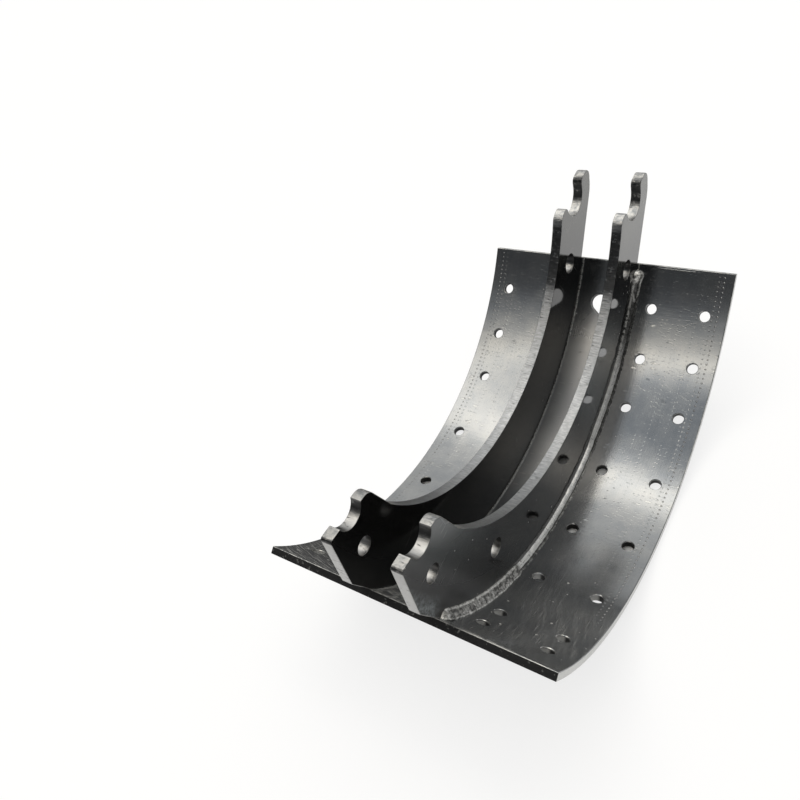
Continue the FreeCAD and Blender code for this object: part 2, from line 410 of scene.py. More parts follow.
grain = noise_at(tree, spot_at(tree, across, arc, radius, (1, 0.05, 1)), 1300.0, 2.0)
mottle = noise_at(tree, spot, 70.0, 4.0)
cloud = noise_at(tree, spot, 16.0)
scuff_place = spot_at(tree, maths(tree, "MULTIPLY_ADD", arc, 0.12, across), arc, radius, (1, 0.045, 1))
low_half = ramp(tree, arc, -0.03, -0.1)
scuff_zone = times(tree, low_half, ramp(tree, cloud, 0.38, 0.55))
scuffs = times(tree, ramp(tree, noise_at(tree, scuff_place, 850.0, 2.0), 0.5, 0.7), scuff_zone)
dash_place = spot_at(tree, across, arc, radius, (0.3, 1, 1))
dash_zone = times(tree, ramp(tree, noise_at(tree, spot, 40.0), 0.42, 0.6), ramp(tree, arc, -0.05, 0.02))
dashes = times(tree, ramp(tree, noise_at(tree, dash_place, 800.0, 1.0), 0.62, 0.7), dash_zone)
ticks = specks(tree, dash_place, 0.002, 0.0008, 0.4)
ticks = times(tree, ticks, ramp(tree, noise_at(tree, spot, 55.0), 0.38, 0.5))
ticks = times(tree, ticks, ramp(tree, arc, -0.06, -0.01))
stroke_place = spot_at(tree, across, maths(tree, "MULTIPLY_ADD", across, 0.5, arc), radius, (0.1, 1, 1))
strokes = times(tree, ramp(tree, noise_at(tree, stroke_place, 700.0, 2.0), 0.5, 0.66),
                ramp(tree, arc, -0.12, -0.16), ramp(tree, across, 0.019, 0.016))
marks = total(tree, *[(feed_marks(tree, across, arc, column, FEED_PITCH, FEED_MARK_SIZE), weight)
                      for column, weight in FEED_COLUMNS])
marks = times(tree, marks, ramp(tree, noise_at(tree, spot, 90.0), 0.26, 0.42))
marks = times(tree, marks, ramp(tree, arc, -0.105, -0.08))
grid_place = maths(tree, "MULTIPLY_ADD", noise_at(tree, spot, 60.0), GRID_WANDER, across)
grid = grid_marks(tree, grid_place, arc, FEED_PITCH, GRID_MARK_SIZE)
grid_zone = times(tree, ramp(tree, noise_at(tree, spot, 150.0, 4.0), 0.5, 0.66),
                  ramp(tree, arc, -0.06, 0.0))
grid = times(tree, grid, grid_zone, ramp(tree, from_side, 0.004, 0.008))
nibs = most(tree, specks(tree, spot, 0.009, 0.0007, 0.3),
            times(tree, specks(tree, spot, 0.0048, 0.0008, 0.35), low_half))
hole_zone = ramp(tree, from_rim, 0.0022, 0.003)
hole_wall = times(tree, ramp(tree, radius, TABLE_INNER_RADIUS + 0.0005, TABLE_INNER_RADIUS + 0.001),
                  ramp(tree, radius, TABLE_INNER_RADIUS + 0.0044, TABLE_INNER_RADIUS + 0.0042), hole_zone)
hole_rim = times(tree, ramp(tree, radius, TABLE_INNER_RADIUS + 0.00004, TABLE_INNER_RADIUS + 0.0001),
                 ramp(tree, radius, TABLE_INNER_RADIUS + 0.0006, TABLE_INNER_RADIUS + 0.0004), hole_zone)
torn_side = times(tree, ramp(tree, across, 0.036, 0.042), ramp(tree, across, 0.068, 0.06))
far_torn = ramp(tree, apart(tree, from_end, 0.0017), 0.00045, 0.0002)
near_torn = times(tree, ramp(tree, from_end, 0.0032, 0.0022), ramp(tree, arc, 0.0, -0.01))
torn = times(tree, most(tree, far_torn, times(tree, near_torn, 0.6)), torn_side,
             ramp(tree, burr_break, 0.34, 0.5))
from_foot = apart(tree, wide, WEB_INNER_EDGE)
grit = noise_at(tree, spot, 900.0, 3.0)
weld_dust = times(tree, ramp(tree, from_foot, 0.0009, 0.0003), ramp(tree, grit, 0.4, 0.56))
foot_specks = times(tree, specks(tree, spot, 0.0022, 0.0007, 0.4), ramp(tree, from_foot, 0.0024, 0.001))
weld_dust = most(tree, weld_dust, times(tree, foot_specks, ramp(tree, arc, 0.06, 0.12)))
between = ramp(tree, wide, 0.0176, 0.0166)
# Painted light: between the webs, from the lowest point towards the roller end, the table is made pale,
# warm and less metallic, rising from the -X web to full past the middle.
painted_light_between = times(tree, ramp(tree, across, -0.017, -0.002), ramp(tree, arc, 0.155, 0.125))
painted_light_between = times(tree, between, ramp(tree, arc, -0.01, 0.04), painted_light_between)
scrape_place = spot_at(tree, across, arc, radius, (1, 0.4, 1))
scrape = times(tree, ramp(tree, noise_at(tree, scrape_place, 420.0, 5.0, 0.65), 0.46, 0.64), between,
               ramp(tree, arc, -0.13, -0.152))
# Painted light: the table beside the outer side of each web is made paler and less metallic, where the
# web's dark reflection falls on it.
painted_light_by_bead = times(tree, ramp(tree, wide, 0.045, 0.031), ramp(tree, wide, 0.024, 0.027))
painted_light_by_bead = times(tree, painted_light_by_bead, ramp(tree, arc, 0.125, 0.1), ramp(tree, arc, -0.02, 0.04))
brushed_place = spot_at(tree, maths(tree, "MULTIPLY_ADD", arc, 0.3, across), arc, radius, (1, 0.06, 1))
brushed = times(tree, ramp(tree, noise_at(tree, brushed_place, 560.0, 3.0), 0.45, 0.7),
                ramp(tree, arc, -0.07, -0.11), ramp(tree, across, 0.03, 0.045))
dust_share = maths(tree, "MULTIPLY_ADD", ramp(tree, arc, 0.11, 0.15), 0.5, 0.35)
foot_line = times(tree, ramp(tree, apart(tree, across, BEAD_ROOT), 0.0007, 0.0003),
                  ramp(tree, arc, 0.1715, 0.1735))

coat = mixed(tree, ramp(tree, mottle, 0.35, 0.68), *COAT_SHADES)
# Painted shadow: the left wing beyond the -X web, near the anchor end, is darkened towards black.
painted_shadow_corner = times(tree, ramp(tree, arc, -0.11, -0.15), ramp(tree, across, -0.018, -0.026))
coat = mixed(tree, times(tree, painted_shadow_corner, 0.7), coat, PAINTED_SHADOW_CORNER)
coat = mixed(tree, times(tree, painted_light_between, 0.85), coat, PAINTED_LIGHT_BETWEEN)
coat = mixed(tree, times(tree, painted_light_by_bead, 0.6), coat, PAINTED_LIGHT_BY_BEAD)
wear = total(tree, (scuffs, 0.3), (nibs, 0.8), (marks, 0.45), (strokes, 0.6), (ticks, 0.14), (torn, 0.9),
             (hole_rim, 0.5), (foot_line, 0.8), (scrape, 0.75), (brushed, 0.1),
             (times(tree, weld_dust, dust_share), 1.0))
coat = mixed(tree, wear, coat, WORN_STEEL)
# Painted shade and light in the rivet holes: their walls are near black, and in the rows towards the
# anchor end each wall is painted lit, mostly on its -X side.
beside = maths(tree, "FRACT", maths(tree, "MULTIPLY_ADD", maths(tree, "SUBTRACT", across, COLUMN_MIDDLE),
                                    1 / COLUMN_PITCH, 0.5))
painted_lit_wall = times(tree, ramp(tree, beside, 0.51, 0.47), ramp(tree, arc, -0.05, -0.08))
painted_wall_colour = mixed(tree, painted_lit_wall, *PAINTED_WALL_SHADE_AND_LIGHT)
edge_spots = ramp(tree, noise_at(tree, spot, 500.0, 4.0), 0.62, 0.72)
edge_colour = mixed(tree, edge_spots, *EDGE_SHADES)
edge_colour = mixed(tree, bare_side, edge_colour, BARE_SIDE)
colour = mixed(tree, sheared, mixed(tree, hole_wall, coat, painted_wall_colour), edge_colour)
tree.links.new(mixed(tree, burr, colour, WORN_STEEL), shader.inputs["Base Color"])
metal = total(tree, (sheared, -0.6), (low_half, -0.22), (strokes, -0.5), (painted_light_between, -0.5),
              (weld_dust, -0.5), (nibs, -0.6), (torn, -0.4), (scrape, -0.6), (burr, -0.3),
              (foot_line, -0.4), (bare_side, 0.6), (painted_light_by_bead, -0.5), (marks, -0.35), (brushed, -0.1))
tree.links.new(maths(tree, "ADD", metal, COAT_METAL), shader.inputs["Metallic"])
satin = total(tree, (mottle, 0.1), (scuffs, 0.12), (grain, 0.06), (sheared, 0.3), (weld_dust, 0.2),
              (times(tree, between, ramp(tree, arc, 0.15, 0.11)), 0.14), (hole_wall, 0.4))
specular = maths(tree, "MULTIPLY_ADD", sheared, -0.38, COAT_SPECULAR)
tree.links.new(specular, shader.inputs["Specular IOR Level"])
tree.links.new(maths(tree, "ADD", satin, COAT_ROUGHNESS), shader.inputs["Roughness"])
height = total(tree, (marks, 1.6), (grid, -0.3), (ticks, 1.2), (dashes, 0.16), (strokes, 0.3),
               (torn, 1.0), (scuffs, 0.1), (grain, 0.1), (cloud, 0.5), (nibs, 1.0), (weld_dust, 0.8),
               (foot_line, 1.0), (times(tree, grit, sheared), 0.9))
bumped(tree, shader, height, COAT_BUMP)
table.data.materials.clear()
table.data.materials.append(black_table)
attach(table, "root")
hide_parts("shoe_table")

# Webs: two flat blanks of 6.8 mm steel, cut out with their horn, heel, seats and holes. Their faces
# have a glossy black coat that mirrors, and their cut edges are worn bare and cross-marked.
WEB_FACES = (0.0173, 0.0241)
CUT_EDGE_RADIUS = 0.00045
GLOSS_BLACK = (0.008, 0.008, 0.008)
GLOSS_INDEX = 1.85
CUT_STEEL = ((0.126, 0.129, 0.132), (0.385, 0.392, 0.402))
CUT_ROUGHNESS = 0.3
BARE_STEEL = (0.39, 0.386, 0.375)
BARE_ENDS = (0.5, 0.495, 0.48)
HEEL_TOP = (0.12, 0.12, 0.118)
HEEL_WALLS = (0.33, 0.328, 0.324)
DARK_PITS = (0.08, 0.08, 0.08)
# Black of the real scale on the horn's edges, also used for the painted shade on the hole walls
SCALE_AND_SHADE_BLACK = (0.035, 0.035, 0.036)
GREY_FILM = (0.34, 0.38, 0.4)
HORN_FILM = (0.09, 0.09, 0.081)
PALE_DASHES = (0.85, 0.84, 0.82)
GLOSS_ROUGHNESS = 0.05
GLOSS_SPECULAR = 0.5
WEB_BUMP = 0.00022
DASH_RADIUS = 0.166
HOLES_RADIUS = 0.156
# Walls of the three holes, of the anchor seat and of the heel's lip: place along and up, radius, and the
# lowest and highest part of the wall that gets painted shade, mottled like scale
WALL_SHADE_BANDS = ((0.119015, 0.097658, 0.0070, -0.0045, 0.02), (-0.148673, 0.109689, 0.0053, -0.003, 0.02),
              (-0.097478, 0.061487, 0.00585, -0.0035, 0.02),
              (-0.148381, 0.136856, 0.0092, -0.0077, -0.0022), (-0.1655, 0.1344, 0.0008, -0.02, 0.02))
HEEL_HOLE_ROW = 1
ANCHOR_SEAT_ROW = 3

black_web, tree, shader = material("glossy_black_web")
across, arc, radius = place_round_axis(tree)
spot = spot_at(tree, across, arc, radius)
wide = maths(tree, "ABSOLUTE", across)
depth = maths(tree, "MINIMUM", maths(tree, "SUBTRACT", wide, WEB_FACES[0]),
              maths(tree, "SUBTRACT", WEB_FACES[1], wide))
cut = ramp(tree, depth, 0.00002, 0.00012)
cross_marks = noise_at(tree, spot_at(tree, across, arc, radius, (0.15, 1, 1)), 900.0, 3.0, 0.65)
mill = noise_at(tree, spot, 320.0, 5.0, 0.65)
cut_colour = mixed(tree, total(tree, (cross_marks, 1.4), (mill, 0.7), (cut, -0.55)), *CUT_STEEL)
horn_edge = times(tree, ramp(tree, arc, 0.148, 0.158), ramp(tree, arc, 0.2125, 0.2085))
horn_edge = times(tree, horn_edge, ramp(tree, radius, 0.138, 0.136))
here = node(tree, "ShaderNodeTexCoord").outputs["Object"]
place = node(tree, "ShaderNodeSeparateXYZ", {"Vector": here})
along, up = place.outputs["Y"], place.outputs["Z"]
nose_wall = times(tree, ramp(tree, along, 0.1465, 0.1495), ramp(tree, up, 0.148, 0.1465))
scale_and_wall_shade = times(tree, most(tree, horn_edge, nose_wall), ramp(tree, mill, 0.66, 0.56))
hole_walls = ramp(tree, apart(tree, radius, HOLES_RADIUS), 0.0165, 0.0155)
heel_part = ramp(tree, arc, -0.163, -0.173)
bare = most(tree, heel_part, ramp(tree, arc, 0.211, 0.218), hole_walls)
mottled = ramp(tree, mill, 0.42, 0.58)
heel_end = times(tree, heel_part, ramp(tree, up, 0.1345, 0.1335))
bare = times(tree, bare, most(tree, mottled, times(tree, heel_end, 0.9)))
cut_colour = mixed(tree, bare, cut_colour, BARE_STEEL)
cut_colour = mixed(tree, times(tree, heel_end, 0.9), cut_colour, BARE_ENDS)
heel_top = times(tree, ramp(tree, up, 0.1345, 0.136), ramp(tree, along, -0.13, -0.135))
cut_colour = mixed(tree, times(tree, heel_top, 0.8), cut_colour, HEEL_TOP)
painted_wall_shade = []
wall_zones = []
for wall_along, wall_up, size, lowest, highest in WALL_SHADE_BANDS:
    aside = maths(tree, "SUBTRACT", along, wall_along)
    above = maths(tree, "SUBTRACT", up, wall_up)
    near_hole = ramp(tree, distance(tree, aside, above), size + 0.0008, size + 0.0005)
    banded = times(tree, ramp(tree, above, lowest - 0.001, lowest + 0.0015),
                   ramp(tree, above, highest + 0.0005, highest - 0.0005))
    painted_wall_shade.append(times(tree, near_hole, banded))
    wall_zones.append(near_hole)
heel_walls = most(tree, wall_zones[HEEL_HOLE_ROW], wall_zones[ANCHOR_SEAT_ROW])
cut_colour = mixed(tree, times(tree, heel_walls, 0.9), cut_colour, HEEL_WALLS)
# Painted shade on bands of the hole and seat walls, mottled like scale, joins the horn's real scale.
scale_and_wall_shade = most(tree, scale_and_wall_shade, times(tree, most(tree, *painted_wall_shade), ramp(tree, mill, 0.78, 0.56)))
pits = ramp(tree, noise_at(tree, spot_at(tree, across, arc, radius, (0.3, 1, 1)), 800.0, 2.0), 0.66, 0.72)
cut_colour = mixed(tree, times(tree, pits, 0.75), cut_colour, DARK_PITS)
cut_colour = mixed(tree, times(tree, scale_and_wall_shade, 0.85), cut_colour, SCALE_AND_SHADE_BLACK)

cloud = noise_at(tree, spot, 26.0, 3.0)
nibs = specks(tree, spot, 0.0075, 0.00055, 0.4)
streak_place = spot_at(tree, across, maths(tree, "MULTIPLY_ADD", radius, 0.5, arc), radius, (1, 1, 0.05))
streaks = times(tree, ramp(tree, noise_at(tree, streak_place, 700.0, 1.0), 0.68, 0.75),
                ramp(tree, cloud, 0.48, 0.62))
foot = ramp(tree, radius, TABLE_INNER_RADIUS - 0.0008, TABLE_INNER_RADIUS - 0.0004)
foot_grit = times(tree, foot, ramp(tree, noise_at(tree, spot, 620.0, 3.0), 0.48, 0.62))
right_face = ramp(tree, across, 0.02, 0.023)
heel_side = times(tree, right_face, ramp(tree, arc, -0.118, -0.2))
film = times(tree, heel_side, ramp(tree, radius, 0.162, 0.132))
heel_tip = times(tree, right_face, ramp(tree, arc, -0.172, -0.181))
smear = times(tree, heel_tip, ramp(tree, radius, 0.167, 0.177),
              ramp(tree, noise_at(tree, spot, 330.0, 6.0, 0.75), 0.4, 0.6))
grey_side = times(tree, ramp(tree, arc, 0.035, 0.06), ramp(tree, arc, 0.135, 0.115),
                  ramp(tree, radius, 0.172, 0.164), right_face)
horn_side = times(tree, ramp(tree, along, 0.09, 0.12), ramp(tree, up, 0.1, 0.125))
web_dashes = specks(tree, spot_at(tree, across, arc, radius, (1, 0.35, 1)), 0.0028, 0.0007, 0.5)
web_dashes = times(tree, web_dashes, ramp(tree, arc, -0.06, 0.0),
                   ramp(tree, apart(tree, radius, DASH_RADIUS), 0.006, 0.002))
colour = mixed(tree, total(tree, (film, 0.3), (smear, 0.8), (grey_side, 0.22)), GLOSS_BLACK, GREY_FILM)
colour = mixed(tree, horn_side, colour, HORN_FILM)
colour = mixed(tree, web_dashes, colour, PALE_DASHES)
colour = mixed(tree, total(tree, (nibs, 0.8), (streaks, 0.2), (foot_grit, 0.5)), colour, WORN_STEEL)
tree.links.new(mixed(tree, cut, colour, cut_colour), shader.inputs["Base Color"])
tree.links.new(cut, shader.inputs["Metallic"])
shader.inputs["IOR"].default_value = GLOSS_INDEX
inner_face = times(tree, ramp(tree, across, -0.0178, -0.0175), ramp(tree, arc, 0.18, 0.16),
                   ramp(tree, across, 0.01, -0.01))
specular = maths(tree, "MULTIPLY_ADD", inner_face, -0.3, GLOSS_SPECULAR)
tree.links.new(specular, shader.inputs["Specular IOR Level"])
low_heel = times(tree, ramp(tree, arc, -0.07, -0.11), ramp(tree, radius, 0.15, 0.165))
gloss = total(tree, (nibs, 0.3), (streaks, 0.2), (foot_grit, 0.3), (smear, 0.3), (film, 0.2),
              (cloud, 0.06), (low_heel, 0.22))
gloss = maths(tree, "ADD", gloss, GLOSS_ROUGHNESS)
rough = node(tree, "ShaderNodeMix", {"Factor": cut, "A": gloss, "B": CUT_ROUGHNESS}, data_type="FLOAT")
tree.links.new(rough.outputs["Result"], shader.inputs["Roughness"])
cut_height = times(tree, total(tree, (cross_marks, 1.0), (mill, 0.8), (pits, -0.8)), cut)
height = total(tree, (cut_height, 1.0), (nibs, 0.6), (foot_grit, 1.0), (smear, 0.3), (cloud, 0.25))
bumped(tree, shader, height, WEB_BUMP)


def finished_web(name, node_name):
    """Web with the fine round of its cut edges."""
    web = bpy.data.objects.new(name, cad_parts[node_name].data.copy())
    bpy.context.collection.objects.link(web)
    only(web)
    bpy.ops.object.mode_set(mode="EDIT")
    bpy.ops.mesh.select_all(action="SELECT")
    bpy.ops.mesh.customdata_custom_splitnormals_clear()
    bpy.ops.mesh.remove_doubles(threshold=SAME_POINT)
    bpy.ops.mesh.dissolve_limited(angle_limit=math.radians(0.3))
    bpy.ops.object.mode_set(mode="OBJECT")
    apply_modifier(web, "BEVEL", width=CUT_EDGE_RADIUS, segments=2, limit_method="ANGLE",
                   angle_limit=SHARP_ANGLE, use_clamp_overlap=False)
    smooth(web, 35)
    web.data.materials.clear()
    web.data.materials.append(black_web)
    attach(web, "root")
    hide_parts(node_name)
    return web


finished_web("web_blank_left", "web_left")
finished_web("web_blank_right", "web_right")

# Welds: one bead along the outer side of each web, laid in three runs that differ in width. Each
# ends in a lump near the horn, and its metal is rippled, rough and silver grey under a thin coat.
# The rows of BEAD_LEGS give an angle, the leg on the web and the leg on the table.
BEAD_ANGLES = (-53.8, 55.9)
BEAD_LEGS = ((-53.8, 0.0048, 0.0046), (-26.0, 0.0048, 0.0044), (-24.0, 0.0036, 0.0038),
             (12.0, 0.0036, 0.0038), (16.0, 0.0062, 0.0038), (55.9, 0.0062, 0.0038))
BEAD_CROWN = 0.0007
BEAD_SUNK = 0.0002
RIPPLE_PITCH = 0.0027
FIRST_RUN_END = -25.0
END_LUMP = (54.6, 1.3)
DRIP_ANGLES = (48.3, 50.6)
BEAD_STEPS = 820
# Colours of the painted shade on the lower side of the bead's last two runs
PAINTED_SHADE_LOW_SIDE = ((0.06, 0.06, 0.06), (0.15, 0.15, 0.147))
FIRST_RUN_SHADES = ((0.08, 0.08, 0.078), (0.42, 0.42, 0.41))
# Colours of the painted highlight on the upper strip of the bead's last two runs
PAINTED_HIGHLIGHT_STRIP = ((0.55, 0.555, 0.56), (0.85, 0.85, 0.84))
# Pale metal of the toe, lip, web edge and drip lines, partly a painted highlight
PALE_LINES_AND_HIGHLIGHT = (0.72, 0.72, 0.7)
BRIGHT_LUMP = (0.75, 0.74, 0.71)
BRIGHT_FLECKS = (0.8, 0.79, 0.76)
BEAD_METAL = 0.6
BEAD_BUMP = 0.00018


def legs_at(angle):
    """Legs of the bead on the web and on the table at an angle."""
    for (low, *first), (high, *second) in zip(BEAD_LEGS, BEAD_LEGS[1:]):
        if angle <= high:
            share = max(0.0, (angle - low) / (high - low))
            return [a + (b - a) * share for a, b in zip(first, second)]
    return BEAD_LEGS[-1][1:]


def bead_point(angle, turn):
    """Point of the bead's surface at an angle and at a turn round its section."""
    web_leg, table_leg = legs_at(angle)
    arc = math.radians(angle) * TABLE_INNER_RADIUS
    to_end = min(angle - BEAD_ANGLES[0], BEAD_ANGLES[1] - angle) / 1.1
    taper = math.sqrt(max(0.0, 1 - max(0.0, 1 - to_end) ** 2))
    lump = math.exp(-((angle - END_LUMP[0]) / END_LUMP[1]) ** 2)
    wave = [noise.noise(Vector((arc * 210, side, 0))) for side in (0.0, 7.3)]
    web_leg = web_leg * taper * (1 + 0.12 * lump) + 0.0004 * wave[0]
    table_leg = table_leg * taper * (1 + 0.25 * lump) + 0.0005 * wave[1]
    if turn > 0.5:
        share = (turn - 0.5) * 2
        corners = ((table_leg, -BEAD_SUNK), (-BEAD_SUNK, -BEAD_SUNK), (-BEAD_SUNK, web_leg))
        first, second = corners[:2] if share < 0.5 else corners[1:]
        share = (share * 2) % 1.0 if share < 1 else 1.0
        side, up = (a + (b - a) * share for a, b in zip(first, second))
    else:
        share = 1 - turn * 2
        crown = math.sin(math.pi * share)
        ripple = math.sin(2 * math.pi * (arc / RIPPLE_PITCH + 0.35 * crown + 0.8 * wave[0]))
        spot = Vector((arc * 420, share * 2.6, 3.1))
        grit = noise.noise(spot) + 0.6 * noise.noise(spot * 2.1)
        first_run = min(1.0, max(0.0, (FIRST_RUN_END - angle) / 1.5))
        web_lip = math.exp(-((share - 0.08) / 0.06) ** 2)
        toe_lip = math.exp(-((share - 0.92) / 0.06) ** 2)
        step = math.exp(-((share - 0.74) / 0.1) ** 2)
        rough = 0.00003 * ripple + 0.00017 * grit
        strip = BEAD_CROWN * crown + 0.00025 * toe_lip - 0.0005 * step + crown * 0.3 * rough
        flat = 0.65 * BEAD_CROWN * crown + 0.00036 * (web_lip + toe_lip) + 1.3 * crown * rough
        out = strip + (flat - strip) * first_run
        out = out * (0.4 + 0.6 * taper) + 0.0011 * lump * crown * (1 + 0.5 * grit)
        side = table_leg * share + out * 0.7
        up = web_leg * (1 - share) + out * 0.7
    return round_axis(angle, TABLE_INNER_RADIUS - up, WEB_FACES[1] + side)


def weld_bead():
    """Bead on the +X side: a tube spun round the drum's axis and shaped to its section."""
    start, radius = BEAD_ANGLES[0], 0.002
    middle = TABLE_INNER_RADIUS - radius
    bpy.ops.object.select_all(action="DESELECT")
    bpy.ops.mesh.primitive_circle_add(vertices=32, radius=radius, fill_type="NGON",
                                      location=round_axis(start, middle, WEB_FACES[1] + radius),
                                      rotation=(math.radians(90 + start), 0, 0))
    bead = bpy.context.object
    put_in_mesh(bead)
    bpy.ops.object.mode_set(mode="EDIT")
    bpy.ops.mesh.select_all(action="SELECT")
    sweep = math.radians(BEAD_ANGLES[0] - BEAD_ANGLES[1])
    bpy.ops.mesh.spin(steps=BEAD_STEPS, angle=sweep, center=DRUM_AXIS, axis=(1, 0, 0))
    bpy.ops.mesh.select_all(action="SELECT")
    bpy.ops.mesh.remove_doubles(threshold=SAME_POINT)
    bpy.ops.mesh.normals_make_consistent(inside=False)
    bpy.ops.object.mode_set(mode="OBJECT")
    for vertex in bead.data.vertices:
        along = vertex.co - DRUM_AXIS
        angle = math.degrees(math.atan2(along.y, -along.z))
        side = vertex.co.x - WEB_FACES[1] - radius
        up = middle - math.hypot(along.y, along.z)
        turn = (math.atan2(up, side) + math.pi / 4) / (2 * math.pi) % 1.0
        vertex.co = bead_point(angle, turn)
    return bead


weld_metal, tree, shader = material("weld_bead_metal")
across, arc, radius = place_round_axis(tree)
spot = spot_at(tree, across, arc, radius)
slag = noise_at(tree, spot, 420.0, 4.0, 0.6)
drawn = noise_at(tree, spot_at(tree, across, arc, radius, (1, 0.06, 1)), 900.0, 3.0)
bright = ramp(tree, noise_at(tree, spot, 600.0, 2.0), 0.62, 0.76)
height = maths(tree, "SUBTRACT", TABLE_INNER_RADIUS, radius)
wander = maths(tree, "MULTIPLY_ADD", noise_at(tree, spot, 150.0), 0.0008, -0.0004)
height = maths(tree, "ADD", height, wander)
first_run = ramp(tree, arc, -0.0765, -0.0805)
last_run = ramp(tree, arc, 0.035, 0.045)
# Painted light and shade on the last two runs: the strip by the web is painted pale as a highlight, and
# the side by the table dark as shade.
strip_foot = maths(tree, "MULTIPLY_ADD", last_run, 0.0014, 0.0016)
strip = ramp(tree, maths(tree, "SUBTRACT", height, strip_foot), 0.0, 0.0003)
strip = times(tree, strip, ramp(tree, arc, 0.128, 0.1))
toe = times(tree, ramp(tree, height, 0.0007, 0.0003), ramp(tree, slag, 0.44, 0.54))
web_line = times(tree, ramp(tree, height, 0.0051, 0.0056), ramp(tree, slag, 0.4, 0.5))
drip_top = ramp(tree, arc, *[math.radians(angle) * TABLE_INNER_RADIUS for angle in DRIP_ANGLES])
from_middle = apart(tree, height, 0.0033)
drip = maths(tree, "ABSOLUTE", maths(tree, "MULTIPLY_ADD", drip_top, -0.0024, from_middle))
drip = times(tree, ramp(tree, drip, 0.0007, 0.0003), ramp(tree, drip_top, 0.0, 0.05))
lump = most(tree, ramp(tree, arc, 0.1655, 0.1685), times(tree, ramp(tree, arc, -0.164, -0.168), 0.5))
lips = most(tree, ramp(tree, height, 0.0037, 0.0043), ramp(tree, height, 0.0011, 0.0006))
lips = times(tree, lips, first_run, ramp(tree, slag, 0.34, 0.48))

painted_shade_low_side = mixed(tree, ramp(tree, slag, 0.36, 0.62), *PAINTED_SHADE_LOW_SIDE)
blotch = noise_at(tree, spot_at(tree, across, arc, radius, (1, 0.7, 1)), 480.0, 5.0, 0.65)
flat = mixed(tree, ramp(tree, blotch, 0.42, 0.6), *FIRST_RUN_SHADES)
painted_highlight_strip = mixed(tree, ramp(tree, drawn, 0.35, 0.65), *PAINTED_HIGHLIGHT_STRIP)
colour = mixed(tree, strip, painted_shade_low_side, painted_highlight_strip)
colour = mixed(tree, first_run, colour, flat)
# Paler lines at the toes, the first run's lips, the last run's web edge and the drip: rough pale metal,
# partly a painted highlight on these edges.
lines_and_highlight = most(tree, toe, times(tree, web_line, last_run), drip, lips)
colour = mixed(tree, times(tree, lines_and_highlight, 0.8), colour, PALE_LINES_AND_HIGHLIGHT)
colour = mixed(tree, times(tree, lump, ramp(tree, slag, 0.36, 0.56)), colour, BRIGHT_LUMP)
bright_share = times(tree, bright, most(tree, first_run, lump))
tree.links.new(mixed(tree, bright_share, colour, BRIGHT_FLECKS), shader.inputs["Base Color"])
shader.inputs["Metallic"].default_value = BEAD_METAL
tree.links.new(total(tree, (slag, 0.3), (drawn, 0.2), (strip, 0.05)), shader.inputs["Roughness"])
rough_share = maths(tree, "SUBTRACT", 1.0, times(tree, strip, 0.75))
rough_share = most(tree, rough_share, first_run)
fine = total(tree, (slag, 1.0), (noise_at(tree, spot, 1500.0, 2.0), 0.3))
bumped(tree, shader, times(tree, fine, rough_share), BEAD_BUMP)

right_bead = weld_bead()
right_bead.name = right_bead.data.name = "rippled_bead_right"
left_bead = bpy.data.objects.new("rippled_bead_left", right_bead.data.copy())
bpy.context.collection.objects.link(left_bead)
left_bead.data.transform(Matrix.Scale(-1, 4, (1, 0, 0)))
left_bead.data.flip_normals()
for bead, side in ((left_bead, "left"), (right_bead, "right")):
    smooth(bead, 60)
    bead.data.materials.clear()
    bead.data.materials.append(weld_metal)
    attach(bead, "root")
    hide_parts("weld_bead_" + side)

# Studio: a plain pale floor, a soft sky of light that is brightest in a ring overhead, and the
# camera at the photograph's viewing angle. Rays from the camera and from glossy coats see the floor
# near white, but for a dark oval below the shoe.
FLOOR_PALE = (0.93, 0.93, 0.93, 1)
FLOOR_ROUGHNESS = 0.9
PAPER_SHARE = 0.72
PAPER_LIGHT = 1.05
OVAL_HALVES = (0.085, 0.064)
OVAL_MIDDLE = -0.03
bpy.ops.object.select_all(action="DESELECT")
bpy.ops.mesh.primitive_plane_add(size=12, location=(0, 0, 0))
floor = bpy.context.object
floor.name = "floor"
pale, tree, shader = material("pale_floor")
shader.inputs["Base Color"].default_value = FLOOR_PALE
shader.inputs["Roughness"].default_value = FLOOR_ROUGHNESS
path = node(tree, "ShaderNodeLightPath").outputs
paper = node(tree, "ShaderNodeEmission", {"Color": (1, 1, 1, 1)})
seen = times(tree, maths(tree, "MAXIMUM", path["Is Camera Ray"], path["Is Glossy Ray"]), PAPER_SHARE)
spot = node(tree, "ShaderNodeTexCoord").outputs["Object"]
part = node(tree, "ShaderNodeSeparateXYZ", {"Vector": spot})
side = maths(tree, "DIVIDE", part.outputs["X"], OVAL_HALVES[0])
along = maths(tree, "DIVIDE", maths(tree, "SUBTRACT", part.outputs["Y"], OVAL_MIDDLE), OVAL_HALVES[1])
under = ramp(tree, distance(tree, side, along), 1.0, 0.965)
seen = times(tree, seen, maths(tree, "SUBTRACT", 1.0, under))
dim_side = times(tree, ramp(tree, part.outputs["X"], -0.075, -0.1),
                 ramp(tree, part.outputs["Y"], -0.16, -0.13))
dim_front = times(tree, ramp(tree, part.outputs["Y"], -0.21, -0.25), 0.6)
dim = maths(tree, "MAXIMUM", dim_side, dim_front)
dim = times(tree, path["Is Glossy Ray"], dim)
seen = maths(tree, "MULTIPLY_ADD", dim, 0.24, seen)
tree.links.new(maths(tree, "MULTIPLY_ADD", dim, -0.95, PAPER_LIGHT), paper.inputs["Strength"])
pale_mix = node(tree, "ShaderNodeMixShader", {0: seen, 1: shader.outputs[0], 2: paper.outputs[0]})
tree.links.new(pale_mix.outputs[0], tree.nodes["Material Output"].inputs["Surface"])
floor.data.materials.append(pale)

world = bpy.data.worlds.new("studio")
bpy.context.scene.world = world
world.use_nodes = True
tree = world.node_tree
backdrop = tree.nodes["Background"]
direction = node(tree, "ShaderNodeTexCoord").outputs["Generated"]
part = node(tree, "ShaderNodeSeparateXYZ", {"Vector": direction})
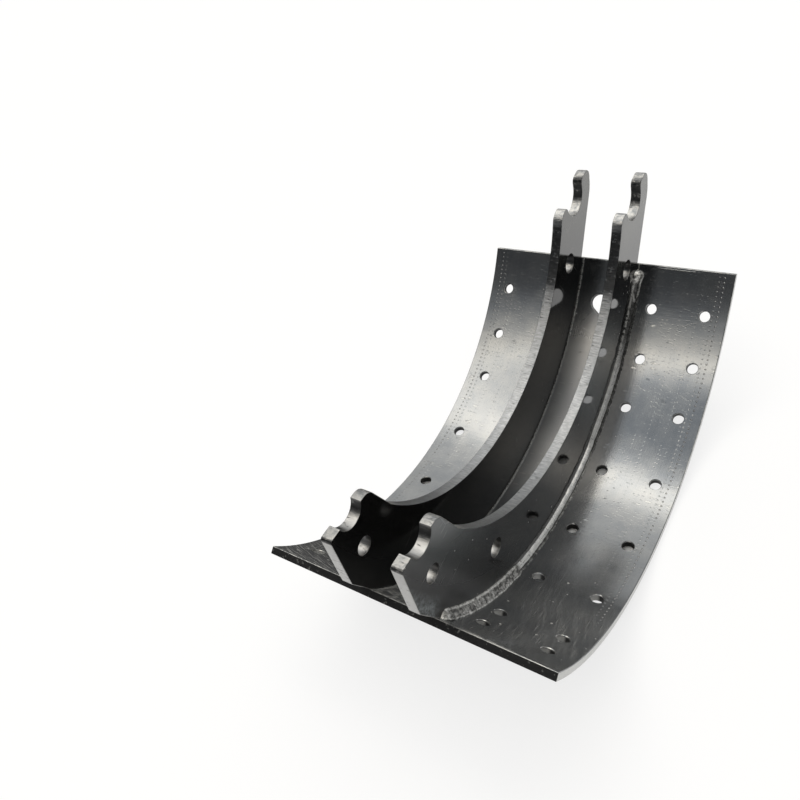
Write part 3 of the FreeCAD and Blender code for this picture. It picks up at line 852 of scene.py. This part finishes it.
# The sky on the far and on the near side: height of a stop, its level of light and its warmth
SKY_FAR = ((0.0, 0.45, 0.4), (0.12, 0.7, 0.4), (0.29, 1.15, 0.4), (0.45, 1.4, 0.4), (0.6, 1.35, 0.45),
           (0.72, 1.65, 0.45), (0.8, 1.7, 0.5), (0.87, 4.6, 1.0), (0.905, 5.0, 1.0), (0.935, 2.1, 0.3),
           (0.96, 0.9, -0.4), (1.0, 0.7, -0.4))
SKY_NEAR = ((0.0, 0.12, 0.0), (0.5, 0.14, 0.0), (0.62, 0.2, 0.0), (0.74, 0.7, 0.0), (0.83, 2.0, 1.1),
            (0.873, 4.3, 1.3), (0.9, 2.4, 0.5), (0.94, 0.95, -0.2), (1.0, 0.65, -0.4))
SKY_PEAK = 5.0
WARM = (1.0, 0.957, 0.875)
COOL = (0.95, 0.98, 1.0)


def sky_colour(level, warmth):
    """Colour of the sky at a level of light and a warmth."""
    return tuple(level / SKY_PEAK * (cool + (warm - cool) * warmth) for warm, cool in zip(WARM, COOL))


def sky_stops(rows):
    """Stops of a colour ramp for the rows of one side of the sky."""
    return [(place, sky_colour(level, warmth)) for place, level, warmth in rows]


far = steps(tree, part.outputs["Z"], *sky_stops(SKY_FAR))
near = steps(tree, part.outputs["Z"], *sky_stops(SKY_NEAR))
sky = mixed(tree, ramp(tree, part.outputs["Y"], -0.25, 0.25), near, far)
dim_right = ramp(tree, part.outputs["X"], -0.2, 0.5)
dim_left = ramp(tree, part.outputs["X"], -0.5, -0.8)
sky = mixed(tree, total(tree, (dim_right, 0.7), (dim_left, 0.3)), sky, (0.0, 0.0, 0.0))
seen = node(tree, "ShaderNodeLightPath").outputs["Is Camera Ray"]
white = (1 / SKY_PEAK, 1 / SKY_PEAK, 1 / SKY_PEAK)
tree.links.new(mixed(tree, seen, sky, white), backdrop.inputs["Color"])
backdrop.inputs["Strength"].default_value = SKY_PEAK

LENS_LENGTH = 33.045
LENS_SHIFT = (0.01503, -0.02991)
CAMERA_PLACE = (0.182045, -0.287854, 0.410277)
CAMERA_RIGHT = (0.81274687, 0.52278678, -0.25717018)
CAMERA_DOWN = (0.19550551, -0.66053317, -0.72489553)
CAMERA_AHEAD = (-0.54883523, 0.53887838, -0.63905397)
lens = bpy.data.cameras.new("camera")
lens.lens = LENS_LENGTH
lens.shift_x, lens.shift_y = LENS_SHIFT
camera = bpy.data.objects.new("camera", lens)
bpy.context.collection.objects.link(camera)
turn = Matrix((CAMERA_RIGHT, [-value for value in CAMERA_DOWN], [-value for value in CAMERA_AHEAD]))
camera.matrix_world = Matrix.Translation(CAMERA_PLACE) @ turn.transposed().to_4x4()
bpy.context.scene.camera = camera
bpy.context.scene.view_settings.view_transform = "Standard"
